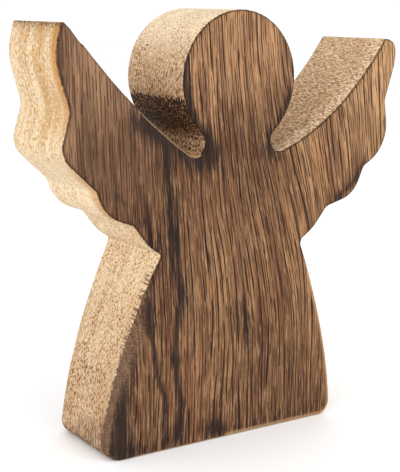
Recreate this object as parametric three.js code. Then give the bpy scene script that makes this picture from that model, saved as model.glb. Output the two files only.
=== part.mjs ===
// A standing angel sawn from one thick plank: a round head, raised wings with scalloped outer edges
// and a robe that flares to a flat hem. Millimetres, +Z up, the front faces -Y. The origin is the
// middle of the hem's underside. Left and right are as seen from the front: -X and +X.
import * as THREE from 'three';

// Driving sizes
const height = 150; // from the hem's underside to the crown
const thickness = 36; // of the plank, front to back
const wingSpan = 140.8; // across both wings at their widest
const headDiameter = 47;
const headShift = -0.3; // of the head's centre, sideways off the figure's axis
const neckWidth = 28; // between the two sawn notches under the head
const notchRadius = 4; // of each notch's round end
const waistWidth = 59.6; // where the wings' lower edges meet the robe
const hemWidth = 98;
const hemCornerRadius = 5;
const lean = 1.2; // degrees; the hem is sawn this far out of square, so the figure leans to +X
const easedEdge = 1; // radius sanded along every edge of the two faces

// The corners of each wing's edge, from the tip down to the waist. The wings were sawn freehand, so
// the two differ by a few millimetres. out is a share of half the wing span, from the figure's axis,
// up is a share of the height, and round is the radius in millimetres that the corner is sanded to.
const leftWing = [
  { out: 0.918, up: 0.942, round: 8 }, // inner corner of the blunt tip
  { out: 0.967, up: 0.961, round: 1.2 }, // outer corner of the tip
  { out: 1.003, up: 0.883, round: 20 }, // crest of the first feather
  { out: 0.92, up: 0.775, round: 6 }, // notch below it
  { out: 0.97, up: 0.681, round: 8 },
  { out: 0.776, up: 0.602, round: 2.5 },
  { out: 0.746, up: 0.551, round: 14 },
  { out: 0.58, up: 0.525, round: 2 },
  { out: 0.493, up: 0.475, round: 15 },
];
const rightWing = [
  { out: 0.921, up: 0.949, round: 1.5 },
  { out: 1.003, up: 0.945, round: 4.5 },
  { out: 1.01, up: 0.893, round: 16 },
  { out: 0.953, up: 0.796, round: 5 },
  { out: 1.007, up: 0.684, round: 15 },
  { out: 0.833, up: 0.634, round: 2 },
  { out: 0.776, up: 0.565, round: 12 },
  { out: 0.59, up: 0.539, round: 3 },
  { out: 0.51, up: 0.489, round: 20 },
];
const leftWaist = { up: 0.457, round: 1 };
const rightWaist = { up: 0.46, round: 2.2 };

// The long edges bow towards these places, given in the same shares: each wing's inner edge, which
// is hollow, and the robe's sides, which are full (out is a share of half the hem's width there).
const leftInnerBow = { out: 0.595, up: 0.77 };
const rightInnerBow = { out: 0.659, up: 0.757 };
const robeBow = { out: 0.935, up: 0.215 };

// Fineness of the curves
const arcStep = THREE.MathUtils.degToRad(8); // turn between two points of an arc
const bowSteps = 12; // straight stretches along a bowed edge
const easedSteps = 3; // facets across each eased edge

const headRadius = headDiameter / 2;
const hemMiddle = new THREE.Vector2();

// A place on the upright figure, turned by the lean about the middle of the hem
function place(x, z) {
  return new THREE.Vector2(x, z).rotateAround(hemMiddle, -THREE.MathUtils.degToRad(lean));
}

// Points on an arc about a centre, from a start point through a turn, anticlockwise if positive
function arc(centre, start, turn) {
  const steps = Math.max(1, Math.ceil(Math.abs(turn) / arcStep));
  return Array.from({ length: steps + 1 }, (_, i) =>
    start.clone().rotateAround(centre, (turn * i) / steps),
  );
}

// The notch on one side of the neck: a round end that touches the head's circle, and from which the
// wing's inner edge runs off towards its bow. Angles are those of the two ends about its centre.
function neckNotch(headCentre, side, bow) {
  const across = neckWidth / 2 + notchRadius;
  const below = Math.sqrt((headRadius + notchRadius) ** 2 - across ** 2);
  const centre = new THREE.Vector2(headCentre.x + side * across, headCentre.y - below);
  const toBow = bow.clone().sub(centre);
  const wingAngle = toBow.angle() - side * Math.acos(notchRadius / toBow.length());
  const headAngle = headCentre.clone().sub(centre).angle();
  return { centre, wingAngle, headAngle };
}

// From one wing's inner edge round the neck and the head to the other's, as marks without rounding
function headAndNeck(rightBow, leftBow) {
  const headCentre = place(headShift, height - headRadius);
  const onCircle = (centre, radius, angle) =>
    new THREE.Vector2(centre.x + radius, centre.y).rotateAround(centre, angle);
  const turnTo = (from, to) => THREE.MathUtils.euclideanModulo(to - from, 2 * Math.PI);
  const right = neckNotch(headCentre, 1, rightBow);
  const left = neckNotch(headCentre, -1, leftBow);
  const headStart = right.headAngle - Math.PI;
  const headEnd = left.headAngle - Math.PI;
  return [
    ...arc(
      right.centre,
      onCircle(right.centre, notchRadius, right.wingAngle),
      -turnTo(right.headAngle, right.wingAngle),
    ),
    ...arc(
      headCentre,
      onCircle(headCentre, headRadius, headStart),
      turnTo(headStart, headEnd),
    ).slice(1),
    ...arc(
      left.centre,
      onCircle(left.centre, notchRadius, left.headAngle),
      -turnTo(left.wingAngle, left.headAngle),
    ).slice(1),
  ].map((point) => ({ point, round: 0 }));
}

// How far the rounding of a mark wants to reach along its two edges
function reach(before, mark, after) {
  if (mark.bow) return 0;
  const back = before.point.clone().sub(mark.point);
  const ahead = after.point.clone().sub(mark.point);
  return mark.round / Math.tan(back.angleTo(ahead) / 2);
}

// The arc that rounds one corner, touching both edges at the reach
function roundedCorner(before, mark, after, reached) {
  if (reached === 0) return [mark.point];
  const incoming = mark.point.clone().sub(before.point);
  const outgoing = after.point.clone().sub(mark.point);
  const turn = Math.atan2(incoming.cross(outgoing), incoming.dot(outgoing));
  const radius = reached / Math.tan(Math.abs(turn) / 2);
  const start = mark.point.clone().addScaledVector(incoming.normalize(), -reached);
  const inwards = new THREE.Vector2(-incoming.y, incoming.x);
  const centre = start.clone().addScaledVector(inwards, radius * Math.sign(turn));
  return arc(centre, start, turn);
}

// The points of a closed outline through its marks. A corner is rounded to its radius, or as far as
// its edges leave room for, shared with the next corner. A bow bends its edge towards itself.
function trace(marks) {
  const at = (i) => marks.at(i % marks.length);
  const wanted = marks.map((mark, i) => reach(at(i - 1), mark, at(i + 1)));
  const room = (i, j) => {
    const length = at(i).point.distanceTo(at(j).point);
    const sum = wanted.at(i) + wanted.at(j % marks.length);
    return sum > length ? (length * wanted.at(i)) / sum : wanted.at(i);
  };
  const corners = marks.map((mark, i) =>
    mark.bow
      ? null
      : roundedCorner(at(i - 1), mark, at(i + 1), Math.min(room(i, i - 1), room(i, i + 1))),
  );
  return corners.flatMap((corner, i) => {
    if (corner) return corner;
    const from = corners.at(i - 1).at(-1);
    const to = corners[(i + 1) % marks.length][0];
    const bow = new THREE.QuadraticBezierCurve(from, at(i).point, to);
    return bow.getPoints(bowSteps).slice(1, -1);
  });
}

// One side of the figure from the hem up to the wing's inner edge, as marks
function sideMarks(side, wing, waist, innerBow) {
  const onWing = ({ out, up }) => place((side * out * wingSpan) / 2, up * height);
  const hemCorner = new THREE.Vector2((side * hemWidth) / 2, 0);
  const robeSide = place((side * robeBow.out * hemWidth) / 2, robeBow.up * height);
  return [
    { point: hemCorner, round: hemCornerRadius },
    { point: robeSide, bow: true },
    { point: place((side * waistWidth) / 2, waist.up * height), round: waist.round },
    ...wing.map((corner) => ({ point: onWing(corner), round: corner.round })).reverse(),
    { point: onWing(innerBow), bow: true },
  ];
}

// The whole outline, anticlockwise from the hem's right corner
function outline() {
  const right = sideMarks(1, rightWing, rightWaist, rightInnerBow);
  const left = sideMarks(-1, leftWing, leftWaist, leftInnerBow).reverse();
  const top = headAndNeck(right.at(-1).point, left[0].point);
  return trace([...right, ...top, ...left]);
}

// The figure: the outline sawn through the plank, with the edges of both faces sanded round
function woodenAngel() {
  const sawnDepth = thickness - 2 * easedEdge;
  const geometry = new THREE.ExtrudeGeometry(new THREE.Shape(outline()), {
    depth: sawnDepth,
    bevelThickness: easedEdge,
    bevelSize: easedEdge,
    bevelOffset: -easedEdge,
    bevelSegments: easedSteps,
  });
  const torchedWood = new THREE.MeshStandardMaterial({ color: 0x8f6a48, roughness: 0.62, metalness: 0 });
  const mesh = new THREE.Mesh(geometry, torchedWood);
  mesh.name = 'wooden_angel';
  mesh.rotation.x = Math.PI / 2;
  mesh.position.y = sawnDepth / 2;
  return mesh;
}

const group = new THREE.Group();
group.add(woodenAngel());

export default group;
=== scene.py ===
import math

import bpy
import numpy as np
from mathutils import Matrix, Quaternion, Vector, noise
from mathutils.bvhtree import BVHTree


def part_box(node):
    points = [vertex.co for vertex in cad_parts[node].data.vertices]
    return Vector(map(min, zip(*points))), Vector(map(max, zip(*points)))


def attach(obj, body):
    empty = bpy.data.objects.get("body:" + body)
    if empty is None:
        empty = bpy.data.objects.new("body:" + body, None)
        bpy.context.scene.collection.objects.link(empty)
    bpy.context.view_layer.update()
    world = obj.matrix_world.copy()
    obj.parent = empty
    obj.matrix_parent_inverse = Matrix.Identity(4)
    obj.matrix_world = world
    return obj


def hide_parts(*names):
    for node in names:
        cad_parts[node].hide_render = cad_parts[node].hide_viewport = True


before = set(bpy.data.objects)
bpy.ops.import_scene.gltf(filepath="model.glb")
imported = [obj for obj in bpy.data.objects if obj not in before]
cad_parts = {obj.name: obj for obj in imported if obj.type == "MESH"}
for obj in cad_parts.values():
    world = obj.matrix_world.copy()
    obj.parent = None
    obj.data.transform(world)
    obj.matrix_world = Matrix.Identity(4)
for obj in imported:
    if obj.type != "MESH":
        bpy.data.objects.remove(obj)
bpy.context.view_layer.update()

# The angel's form. One thick board of coarse, open-pored wood, sawn to the outline and sanded by
# hand. The faces stay flat; the wings keep a crisp edge and the robe's edges are rounded over.
# Metres, with the front towards -Y. Left and right are as seen from the front: -X and +X.
mm = 0.001
grid_size = 0.00078  # between two points of the fine mesh
loose_gap = 0.000001  # under which two corners of the model's loose triangles are one
sawn_limit = 0.05  # the most that a sawn wall's normal leans to the front or the back


def merged_copy(node, name):
    """A copy of a model node as a piece of its own, with its loose triangles joined."""
    piece = bpy.data.objects.new(name, node.data.copy())
    bpy.context.scene.collection.objects.link(piece)
    bpy.ops.object.select_all(action="DESELECT")
    piece.select_set(True)
    bpy.context.view_layer.objects.active = piece
    bpy.ops.object.mode_set(mode="EDIT")
    bpy.ops.mesh.select_all(action="SELECT")
    bpy.ops.mesh.remove_doubles(threshold=loose_gap)
    bpy.ops.object.mode_set(mode="OBJECT")
    return piece


def add_modifier(piece, kind, **settings):
    """Adds a modifier to the active piece and applies it."""
    modifier = piece.modifiers.new(kind.lower(), kind)
    for name, value in settings.items():
        setattr(modifier, name, value)
    bpy.ops.object.modifier_apply(modifier=modifier.name)


form = merged_copy(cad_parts["wooden_angel"], "form")
angel = merged_copy(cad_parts["wooden_angel"], "angel")
add_modifier(angel, "REMESH", mode="VOXEL", voxel_size=grid_size)
add_modifier(angel, "SHRINKWRAP", target=form, wrap_method="NEAREST_SURFACEPOINT")

# How far each point lies inside the sawn outline, and which way is inwards, from the sawn walls
model_corners = [v.co.copy() for v in form.data.vertices]
sawn_walls = [tuple(p.vertices) for p in form.data.polygons if abs(p.normal.y) < sawn_limit]
walls = BVHTree.FromPolygons(model_corners, sawn_walls)
count = len(angel.data.vertices)
points = np.empty(count * 3)
angel.data.vertices.foreach_get("co", points)
points = points.reshape(count, 3)
inset = np.empty(count)
inwards = np.empty((count, 3))
for i, point in enumerate(points):
    _, outwards, _, inset[i] = walls.find_nearest((point[0], 0, point[2]))
    inwards[i] = -outwards
bpy.data.objects.remove(form)

_, (_, half_board, height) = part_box("wooden_angel")
to_right, to_back, up = points.T  # these follow the points as they are moved
depth = half_board - np.abs(to_back)  # from the nearer face


def rising(value, start, end):
    """A smooth step from 0 at start to 1 at end."""
    t = np.clip((value - start) / (end - start), 0, 1)
    return t * t * (3 - 2 * t)


def uneven(stretch, seed):
    """Smooth noise from about -1 to 1 at every point, stretch metres long in each direction."""
    shift = Vector((seed, 2 * seed, 3 * seed))
    scale = 1 / np.array(stretch)
    return np.array([noise.noise(Vector(p) + shift) for p in points * scale])


# Edges sanded over: a touch on most of them, wide on the robe's left side towards the foot, and
# wide where the left wing's tip was handled most
touch = 1.0 * mm
foot_round = 3.4 * mm
tip_round = 1.6 * mm
foot_growth = 0.8  # power by which the rounding widens from the waist down
waist_height = 0.455 * height
tip_start = 0.75 * height
tip_full = 0.86 * height
on_left = to_right < 0
sideways = np.abs(inwards[:, 0])
robe_share = np.clip(1 - up / waist_height, 0, 1) ** foot_growth * on_left * sideways
tip_share = rising(up, tip_start, tip_full) * (to_right < -58 * mm) * sideways
rounding = touch + foot_round * robe_share + tip_round * tip_share
rounding = rounding * (1 + 0.2 * uneven((0.02, 0.02, 0.014), seed=3))
from_wall = rounding - inset
from_face = rounding - depth
reach = np.hypot(from_wall, from_face)
cut = (from_wall > 0) & (from_face > 0) & (reach > rounding)
pull = np.where(cut, 1 - rounding / np.maximum(reach, loose_gap), 0)
facing = np.sign(to_back)
points += inwards * (pull * from_wall)[:, None]
points[:, 1] -= facing * pull * from_face

# The sawn walls wander a little where the saw and the sanding drum went, and only inwards
saw_wander = 0.08 * mm
drum_wander = 0.03 * mm
wander = saw_wander * (1 + uneven((0.013, 0.02, 0.013), seed=11))
wander += drum_wander * (1 + uneven((0.004, 0.012, 0.004), seed=17))
near_wall = 1 - rising(inset, 0, 4 * mm)
off_floor = rising(up, 0, 3 * mm)
points += inwards * (wander * near_wall * off_floor)[:, None]
angel.data.vertices.foreach_set("co", points.ravel())


# Burn marks. The faces were darkened with a torch, and the flame lingered in the neck notches, down
# the left of the robe and at its foot. Each pass runs through places (x, z) in mm, with half its
# width in mm and its strength. Soot is nearly black, toast a deeper brown. The wall pass down the
# head's left side is burn and painted shadow of the left wing.
def darkened_by(passes):
    """How far all the passes, of flame and of painted shade, darkened each point, from 0 to 1."""
    here = points[:, [0, 2]]
    spared = np.ones(count)
    for places, width, strength in passes:
        path = np.array(places) * mm
        nearest = np.full(count, np.inf)
        for begin, end in zip(path[:-1], path[1:]):
            stroke = end - begin
            share = np.clip((here - begin) @ stroke / (stroke @ stroke), 0, 1)
            gap = np.linalg.norm(here - begin - share[:, None] * stroke, axis=1)
            nearest = np.minimum(nearest, gap)
        spared *= 1 - strength * np.exp(-((nearest / (width * mm)) ** 2))
    return 1 - spared


front_soot = darkened_by(
    [
        ([(-34, 114), (-26, 107.5), (-16, 101), (-10, 102)], 6.5, 0.97),  # left notch and wing
        ([(-20.5, 133), (-20, 125), (-18.5, 117), (-14, 109.5), (-11.5, 103)], 2.8, 0.85),  # head
        ([(24, 121), (20.5, 114), (16.5, 108), (14.5, 102), (19, 99)], 3.6, 0.7),  # right notch
        ([(-28, 99), (-25, 87), (-24, 70)], 3.9, 0.66),  # left notch to waist
        # two wavy streaks down the robe's left side, the outer one darkest at its top
        ([(-24, 76), (-24.3, 67), (-20.6, 55.5), (-21.6, 44), (-22.3, 32)], 2.6, 0.72),
        ([(-22.3, 32), (-21.1, 24), (-19, 15.5), (-20.2, 5)], 2.3, 0.8),
        ([(-34.4, 52), (-31.4, 40), (-29, 27), (-26.1, 18.5), (-24.8, 4)], 1.9, 0.78),
        ([(-34, 55), (-31.8, 46)], 4.5, 0.6),
        ([(-37, 36), (-40, 25), (-42.5, 14), (-44.5, 4)], 3.2, 0.55),  # along the robe's left edge
        ([(-49, 4), (-30, 2), (0, 2), (30, 2.5), (46, 4)], 2.6, 0.4),  # foot
        ([(-6, 6), (-1, 3)], 3.4, 0.6),  # foot, middle
        ([(-46, 16), (-43, 3)], 5, 0.65),  # foot, left corner
        ([(5, 44), (10, 39), (15, 34)], 8, 0.4),  # the robe's middle
        ([(60, 95), (55, 88), (45, 81), (40, 72), (33, 67)], 1.9, 0.62),  # under the right wing
        ([(-31, 70), (-29, 75), (-37, 82), (-45, 90)], 2.0, 0.5),  # under the left wing
    ]
)
front_toast = darkened_by(
    [
        ([(0, 107), (0, 98)], 15, 0.65),  # neck
        ([(-22, 96), (-22, 50)], 13, 0.5),  # the body's left side
        ([(-32, 30), (-30, 10)], 7, 0.35),  # between the two streaks
        ([(2, 30), (26, 12)], 12, 0.3),  # low on the robe
        ([(-50, 106), (-36, 84)], 13, 0.55),  # left wing
        ([(-38, 36), (-40, 6)], 12, 0.5),  # along the robe's left edge
        ([(-65, 141), (-65, 120)], 3, 0.5),  # the left wing's tip
        ([(-45, 3), (45, 4)], 10, 0.6),  # foot
        ([(-29, 66), (-27, 50)], 5, 0.6),  # left of the waist
        ([(24, 124), (15, 104)], 7, 0.5),  # right notch
        ([(4, 42), (25, 30)], 7, 0.55),  # the robe's middle
        ([(60, 95), (55, 88), (45, 81), (40, 72), (33, 67)], 3.5, 0.7),  # under the right wing
        ([(-56, 100), (-48, 84), (-38, 78), (-30, 70)], 3.5, 0.5),  # under the left wing
        ([(21, 140), (25, 128), (22, 115)], 3, 0.5),  # the head's right edge
        ([(8, 80), (12, 20)], 26, 0.52),  # the whole body, softly
        ([(-43, 113), (-39, 96), (-38, 79)], 2.4, 0.6),  # three streaks down the left wing
        ([(-34, 112), (-26.5, 95), (-22, 77)], 4.5, 0.6),
        ([(-52, 107), (-49, 92), (-46.5, 80)], 2.2, 0.45),
        ([(-40, 60), (-35, 30), (-38, 6)], 9, 0.35),  # the robe's left side
    ]
)
back_soot = darkened_by(
    [
        ([(-18, 105), (-13, 100)], 4.5, 0.8),  # the two notches
        ([(14, 101), (20, 102), (27, 107)], 4.5, 0.8),
        ([(14, 96), (16, 60), (19, 20)], 3.6, 0.6),  # two streaks down the body
        ([(-24, 60), (-30, 20)], 3.2, 0.5),
        ([(-48, 3), (47, 4)], 2.6, 0.55),  # foot
    ]
)
back_toast = darkened_by(
    [
        ([(0, 106), (0, 60)], 22, 0.45),  # body
        ([(-40, 5), (40, 5)], 12, 0.4),  # foot
        ([(45, 105), (32, 84)], 12, 0.4),  # one wing
    ]
)
wall_soot = darkened_by(
    [
        ([(-20, 116), (-15, 108), (-13, 104)], 4.5, 0.5),  # left notch
        ([(17, 104), (19, 111)], 3, 0.75),  # right notch
        ([(-49, 2), (-42, 0)], 3, 0.4),  # foot, left corner
        ([(-66, 144.5), (-58, 141.5)], 1.6, 0.55),  # the wings' tips
        ([(61, 143), (70, 142.5)], 1.4, 0.5),
    ]
)
wall_toast_and_shade = darkened_by(
    [
        ([(-24, 131), (-21, 118), (-14, 104)], 10, 0.85),  # the head's left side: burn, and painted shadow of the left wing
        ([(-24, 60), (-42, 40), (-49, 5)], 8, 0.5),  # the robe's left side
        ([(-46, 20), (-49, 0)], 12, 0.45),
        ([(30, 115), (18, 103)], 8, 0.12),  # right notch
        ([(-67, 144), (-58, 142)], 5, 0.3),  # the left wing's tip
        ([(28, 70), (44, 10)], 8, 0.4),  # the robe's right side
    ]
)

# The head's underside is scorched, from a sharp line on its left down into the notch
head_side = (to_right < -9 * mm) & (to_right > -30 * mm)
scorched = rising(up, 122.5 * mm, 119 * mm) * rising(up, 101 * mm, 113 * mm)
wall_soot = np.maximum(wall_soot, scorched * head_side)

on_wall = rising(depth, 0.4 * mm, 1.2 * mm)
in_front = to_back < 0


def burn_and_shade_here(front, back, wall):
    """The burn and painted shade at each point, from those of the front, back and sawn walls."""
    return np.where(in_front, front, back) * (1 - on_wall) + wall * on_wall


# How far round the edge the torched finish reaches in mm, and where handling wore it off again:
# all up the robe's right edge, and lightly along the hem and in the left notch
plain_bleed = 0.6
foot_bleed = 5
tip_bleed = 0.9
bleed = plain_bleed + (foot_bleed * robe_share + tip_bleed * tip_share) * in_front
light_wear = 0.45
worn_top = 0.42 * height
worn_right = ~on_left * rising(worn_top - up, 0, 10 * mm)
worn_hem = light_wear * rising(inwards[:, 2], 0.5, 0.9) * rising(up, 8 * mm, 5 * mm)
worn_hem *= rising(to_right, -42 * mm, -37 * mm)
by_notch = (to_right > -38 * mm) & (to_right < -13 * mm)
worn_notch = light_wear * rising(-inwards[:, 2], 0.3, 0.6) * by_notch
worn_notch *= rising(up, 97 * mm, 99 * mm) * rising(up, 121 * mm, 117 * mm)

# The right wing's inner wall, where the saw left its marks
inner_wall = rising(inwards[:, 0], 0, 0.3) * rising(to_right, 8 * mm, 20 * mm)
inner_wall *= rising(up, 94 * mm, 104 * mm)

fields = {
    "soot": burn_and_shade_here(front_soot, back_soot, wall_soot),
    "toast_and_shade": burn_and_shade_here(front_toast, back_toast, wall_toast_and_shade),
    "inset": inset / mm,
    "bleed": bleed,
    "worn": np.clip(worn_hem + worn_notch + worn_right, 0, 1),
    "band": (robe_share + 0.2 * tip_share) * in_front,
    "inner": inner_wall,
}
for name, values in fields.items():
    layer = angel.data.attributes.new(name, "FLOAT", "POINT")
    layer.data.foreach_set("value", values)

bpy.ops.object.shade_smooth()


# The wood. Its grain leans a few degrees, most to the right of the middle, and its pores run with
# it: long dark lines on the faces, short flecks where the saw crossed them. The faces are torched
# and rubbed to a satin brown; the sawn walls are left pale, golden towards the front.
class Shade:
    """One value of the material being built: a node's socket that takes part in arithmetic."""

    tree = None

    def __init__(self, socket):
        self.socket = socket

    @classmethod
    def node(cls, kind, settings=None, inputs=None, output=0):
        """Adds a node, sets it up, fills or links its inputs, and returns one of its outputs."""
        made = cls.tree.nodes.new(kind)
        for name, value in (settings or {}).items():
            setattr(made, name, value)
        for key, value in (inputs or {}).items():
            if isinstance(value, Shade):
                cls.tree.links.new(value.socket, made.inputs[key])
            else:
                made.inputs[key].default_value = value
        return None if output is None else Shade(made.outputs[output])

    @classmethod
    def math(cls, operation, first, second=0):
        """Adds a Math node that works on one or two values."""
        return cls.node("ShaderNodeMath", {"operation": operation}, {0: first, 1: second})

    def __add__(self, other):
        return Shade.math("ADD", self, other)

    def __radd__(self, other):
        return Shade.math("ADD", other, self)

    def __sub__(self, other):
        return Shade.math("SUBTRACT", self, other)

    def __rsub__(self, other):
        return Shade.math("SUBTRACT", other, self)

    def __mul__(self, other):
        return Shade.math("MULTIPLY", self, other)

    def __rmul__(self, other):
        return Shade.math("MULTIPLY", other, self)

    def __abs__(self):
        return Shade.math("ABSOLUTE", self)

    def step(self, start, end, low=0.0, high=1.0):
        """A smooth step of this value, from low at start to high at end."""
        return Shade.node(
            "ShaderNodeMapRange",
            {"interpolation_type": "SMOOTHSTEP"},
            {"Value": self, "From Min": start, "From Max": end, "To Min": low, "To Max": high},
        )


def colour(code):
    """A web colour as Blender's linear one, by the curve of the sRGB standard."""
    parts = [int(code[i : i + 2], 16) / 255 for i in (1, 3, 5)]
    linear = [p / 12.92 if p <= 0.04045 else ((p + 0.055) / 1.055) ** 2.4 for p in parts]
    return (*linear, 1.0)


def blend(share, first, second):
    """A colour that goes from first to second as share goes from 0 to 1."""
    return Shade.node("ShaderNodeMix", {"data_type": "RGBA"}, {0: share, 6: first, 7: second}, 2)


def layered(ground, layers):
    """A ground colour with others laid over it one after another, each by its share."""
    for share, code in layers:
        ground = blend(share, ground, colour(code))
    return ground


def field(name):
    """One of the values stored on the angel's points."""
    return Shade.node("ShaderNodeAttribute", {"attribute_name": name}, output="Fac")


torched_wood = bpy.data.materials.new("torched_wood")
torched_wood.use_nodes = True
Shade.tree = torched_wood.node_tree
Shade.tree.nodes.clear()

in_metres = Shade.node("ShaderNodeTexCoord", output="Object")
in_mm = Shade.node("ShaderNodeVectorMath", {"operation": "SCALE"}, {0: in_metres, "Scale": 1 / mm})
split = Shade.node("ShaderNodeSeparateXYZ", inputs={0: in_mm})
x, y, z = (Shade(socket) for socket in split.socket.node.outputs)
half_board_mm = half_board / mm


def grained(crosswise, size, seed=0, detail=1.0, rough=0.5):
    """Noise whose marks have a size in mm across, through and along the board."""
    wide, thick, long = size
    vector = Shade.node(
        "ShaderNodeCombineXYZ",
        inputs={"X": crosswise * (1 / wide) + seed, "Y": y * (1 / thick), "Z": z * (1 / long)},
    )
    return Shade.node(
        "ShaderNodeTexNoise",
        inputs={"Vector": vector, "Scale": 1.0, "Detail": detail, "Roughness": rough},
    )


# Across the grain, in mm: x, straightened by the lean and by the wander of the fibres
lean = x.step(-28, 28, low=0.05, high=0.21) * x.step(25, 60, low=1, high=0.55)
along = z.step(24, 158, low=-67, high=67)
drift = (grained(x, (26, 40, 90)) - 0.5) * 5
ripple = (grained(x, (6, 12, 24), seed=5) - 0.5) * 0.7
across = x + lean * along + drift + ripple

tone = grained(across, (5, 18, 80), seed=3, detail=2)
streak = grained(across, (2.3, 8, 40), seed=7)
fibre = grained(across, (0.45, 0.8, 6), seed=91, detail=3, rough=0.65)


def pore_lines(spacing, width, length, seed):
    """Dark lines along the grain, at a rough spacing and broken into lengths, all in mm."""
    core = width * 0.45  # the line's darkest part
    stray = grained(across, (6, 14, 55), seed) * 2.2
    gap = Shade.math("PINGPONG", across * (1 / spacing) + stray, 0.5) * spacing
    stretch = grained(across, (1.3, 2.4, length), seed + 5)
    return gap.step(width, core) * stretch.step(0.44, 0.5)


pores = pore_lines(spacing=1.9, width=0.3, length=20, seed=31)
small_pores = pore_lines(spacing=1.05, width=0.24, length=9, seed=57)
spindle = grained(across, (0.45, 2, 10), seed=77).step(0.61, 0.67)

soot = field("soot")
toast_and_shade = field("toast_and_shade")
inset_mm = field("inset")
bleed_mm = field("bleed")
worn = field("worn")
banded = field("band")
right_inner = field("inner")

# Torched faces. The head and the right wing's tip are lighter, and the left wing is duller, with
# quieter fibres and pores.
crown = z.step(112, 126)
right_tip = x.step(26, 66) * z.step(85, 120)
left_wing = x.step(-22, -36) * z.step(76, 96)
quieter = 1 - left_wing * 0.5
dark_streak = streak.step(0.5, 0.64, high=0.5) * (1 - crown * 0.4)
dark_streak = dark_streak + left_wing * streak.step(0.5, 0.6, high=0.25)
pale_fibre = fibre.step(0.5, 0.34, high=0.32) * quieter
dark_fibre = fibre.step(0.5, 0.66, high=0.45) * quieter
face = layered(
    blend(tone.step(0.36, 0.64), colour("#845b3e"), colour("#ae8259")),
    [
        (crown * 0.35, "#bd906a"),
        (right_tip * 0.42, "#d0a576"),
        (left_wing * 0.5, "#7b6150"),
        (toast_and_shade, "#573927"),
        (dark_streak, "#57402f"),
        (pale_fibre, "#cfa57a"),
        (dark_fibre, "#4a3021"),
        (small_pores * 0.8, "#382117"),
        (spindle * 0.5 * (1 - left_wing * 0.6), "#2f1b12"),
        (pores * 0.95 * quieter, "#23120c"),
    ],
)

# Pale sawn walls, with growth rings seen edge on, an amber strip along the front, flecks of cut
# pores, rows of saw marks on the right wing's inner wall and a comb of nicks up the robe's edge.
# Painted light pales the walls over the head, and painted shade darkens the right wing's inner
# wall and, with the burn, the head's left side
ring = grained(across, (9, 3.4, 80), seed=71)
patch = grained(across, (9, 9, 16), seed=13)
fleck = grained(across, (0.45, 0.62, 1.5), seed=53, rough=0.6)
speck = grained(x, (0.5, 0.8, 0.9), seed=19)
saw_mark = grained(x, (1.9, 1.7, 0.26), seed=5, detail=0)
nick = grained(x, (7, 6, 0.55), seed=29)
front_depth = y + half_board_mm
wing_wall = x.step(-32, -46) * z.step(66, 84)
robe_wall = z.step(70, 60) * x.step(-15, -25)
wing_amber = front_depth.step(8, 2.5) * wing_wall
wing_amber = wing_amber * (z.step(106, 122, low=0.25) + z.step(102, 95) * 0.6)
robe_amber = front_depth.step(18, 4) * robe_wall * z.step(52, 16)
amber = wing_amber + robe_amber * patch.step(0.4, 0.6, low=0.15, high=0.6)
pale_speck = speck.step(0.46, 0.3, high=0.6) * (1 - soot) * (1 - amber)
rows = right_inner * z.step(132, 106, low=0.55, high=0.62) + 0.1
comb = nick.step(0.5, 0.6) * front_depth.step(6, 3.5) * robe_wall * z.step(26, 34)
sawn = blend(ring.step(0.2, 0.8), colour("#dcb98c"), colour("#ecd6b4"))
sawn_wing = blend(ring.step(0.34, 0.62), colour("#c29d6e"), colour("#dcc5a2"))
wall = layered(
    blend(wing_wall, sawn, sawn_wing),
    [
        (wing_wall * z.step(116, 98) * 0.7, "#e8d4b2"),  # paler low on the wing
        (amber * 0.75, "#b57f3c"),
        (crown * (1 - wing_wall) * 0.5, "#e9d6b8"),  # painted light on the walls over the head, lit from above
        # painted shade from the head and the wing on the right wing's inner wall
        (right_inner * z.step(108, 122, low=0.4, high=0.6), "#ac7f55"),
        (right_inner * front_depth.step(7, 3) * 0.5, "#e2c8a4"),  # its pale front edge
        # burn, and on the head's left side painted shadow of the left wing
        (toast_and_shade * 0.75, "#8d6138"),
        (soot * 0.85, "#86603c"),
        (pale_speck, "#f2e2c6"),
        (saw_mark.step(0.46, 0.57) * rows, "#694424"),
        (comb * 0.8, "#523423"),
    ],
)
fleck_share = patch.step(0.35, 0.55, low=0.4, high=0.75) + toast_and_shade * 0.3 - right_inner * 0.8
fleck_colour = blend(wing_wall, colour("#70431c"), colour("#a4743c"))
wall = blend(fleck.step(0.5, 0.64) * fleck_share, wall, fleck_colour)

# The flame licked round the robe's foot, most towards the front
flame_height = z + front_depth * 0.5 + (patch - 0.5) * 12
licked_colour = blend(fibre.step(0.42, 0.58), colour("#b08d6e"), colour("#54412f"))
wall = blend(flame_height.step(20, 13) * robe_wall * 0.85, wall, licked_colour)

# Where the torched faces end: just round the edge, raggedly, past a duller band down the robe's
# left edge. The very edge is dark, or pale where it is worn.
ragged = grained(x, (2.4, 1.6, 0.9), seed=23, detail=2) - 0.5
fuzz = grained(x, (1.6, 0.6, 0.6), seed=43, detail=2) - 0.5
edge_depth = half_board_mm - abs(y)
torched = (edge_depth + ragged * (bleed_mm * 0.9 + 0.1) - bleed_mm).step(0.3, -0.2)
band = (inset_mm + fuzz * 2).step(5.2, 3.2) * banded.step(0.1, 0.5)
band_colour = blend(fuzz.step(-0.12, 0.14), colour("#57412f"), colour("#775c49"))
face = blend(band * 0.8, face, band_colour)
rim = inset_mm.step(1.1, 0.3) * torched * (1 - band)
worn_rim = (inset_mm + fuzz * 0.7).step(worn * 2, worn * 0.6)
worn_rim = worn_rim * worn.step(0.1, 0.5) * torched

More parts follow.
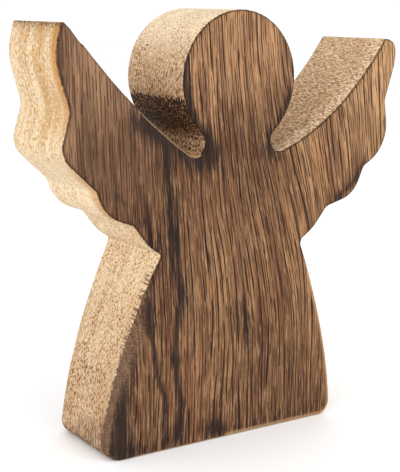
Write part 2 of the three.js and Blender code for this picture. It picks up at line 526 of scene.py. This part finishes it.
# Soot takes to the grain's dark streaks on the faces, and lies in specks on the sawn walls
soot_on_face = soot * 1.5 + (streak - 0.5) * 1.7 + (fibre - 0.5) * 1.5
soot_on_face = soot_on_face.step(0.3, 1.3) * soot.step(0, 0.25)
soot_on_wall = soot + (speck - 0.5) * 3.1 + (fleck - 0.5) * 1.6
soot_on_wall = soot_on_wall.step(0.45, 0.95) * soot.step(0.05, 0.35)
finish = layered(
    blend(torched, wall, face),
    [
        (rim * (1 - worn) * 0.75, "#2f1f19"),
        (soot_on_face * torched * 0.9, "#251b19"),
        (soot_on_wall * (1 - torched) * 0.95, "#21140d"),
        (worn_rim * 0.75, "#b5926c"),
    ],
)

satin = fibre.step(0.3, 0.7, low=0.5, high=0.66) + soot * 0.1
grooves = (pores + small_pores * 0.5) * torched + fleck.step(0.54, 0.64) * (1 - torched)
groove_depth = 0.2 * mm
relief = Shade.node(
    "ShaderNodeBump",
    inputs={"Height": fibre * 0.5 - grooves, "Strength": 0.45, "Distance": groove_depth},
)
surface = Shade.node(
    "ShaderNodeBsdfPrincipled",
    inputs={"Base Color": finish, "Roughness": satin, "Normal": relief, "Specular IOR Level": 0.1},
)
Shade.node("ShaderNodeOutputMaterial", inputs={"Surface": surface}, output=None)

angel.data.materials.clear()
angel.data.materials.append(torched_wood)
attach(angel, "root")
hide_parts("wooden_angel")

# The floor. A plain, nearly white sheet of matt paint, far wider than the view. The angel stands
# on it on its flat hem and isn't fixed to it.
floor_width = 12
bpy.ops.object.select_all(action="DESELECT")
bpy.ops.mesh.primitive_plane_add(size=floor_width, location=(0, 0, 0))
floor = bpy.context.active_object
floor.name = "floor"
floor_paint = bpy.data.materials.new("floor_paint")
floor_paint.use_nodes = True
floor_surface = floor_paint.node_tree.nodes["Principled BSDF"]
floor_surface.inputs["Base Color"].default_value = (0.95, 0.95, 0.95, 1)
floor_surface.inputs["Roughness"].default_value = 0.6
floor.data.materials.append(floor_paint)

# The light. A white surround and two large soft lamps: the main one high on the left, and a
# weaker one in front on the right.
surround = bpy.data.worlds.new("surround")
surround.use_nodes = True
surround.node_tree.nodes["Background"].inputs["Color"].default_value = (1, 1, 1, 1)
surround.node_tree.nodes["Background"].inputs["Strength"].default_value = 1.05
bpy.context.scene.world = surround
middle = Vector((0, 0, height / 2))


def soft_lamp(name, place, size, power):
    """A square lamp that looks at the middle of the figure; size in metres, power in watts."""
    data = bpy.data.lights.new(name, "AREA")
    data.size = size
    data.energy = power
    lamp = bpy.data.objects.new(name, data)
    bpy.context.scene.collection.objects.link(lamp)
    lamp.location = place
    lamp.rotation_mode = "QUATERNION"
    lamp.rotation_quaternion = (Vector(place) - middle).to_track_quat("Z", "Y")


soft_lamp("main_lamp", place=(-0.9, -0.4, 0.62), size=0.5, power=4.4)
soft_lamp("second_lamp", place=(0.5, -0.9, 0.6), size=0.7, power=3)

# The camera. It stands in front of the figure on the left, looks down at it a little, and is
# turned slightly about its own axis.
azimuth = math.radians(-34.738)
elevation = math.radians(11.052)
roll = math.radians(1.347)
focal_length = 84.774  # mm, as is the sensor's width
sensor_width = 36
view_distance = 0.375593
view_centre = Vector((-0.01315, -half_board, 0.0743))
back = Vector(
    (
        math.sin(azimuth) * math.cos(elevation),
        -math.cos(azimuth) * math.cos(elevation),
        math.sin(elevation),
    )
)
camera_data = bpy.data.cameras.new("camera")
camera_data.lens = focal_length
camera_data.sensor_width = sensor_width
camera_data.clip_start = 0.01
camera = bpy.data.objects.new("camera", camera_data)
bpy.context.scene.collection.objects.link(camera)
camera.location = view_centre + back * view_distance
camera.rotation_mode = "QUATERNION"
camera.rotation_quaternion = back.to_track_quat("Z", "Y") @ Quaternion((0, 0, 1), roll)
bpy.context.scene.camera = camera
bpy.context.scene.view_settings.view_transform = "Standard"
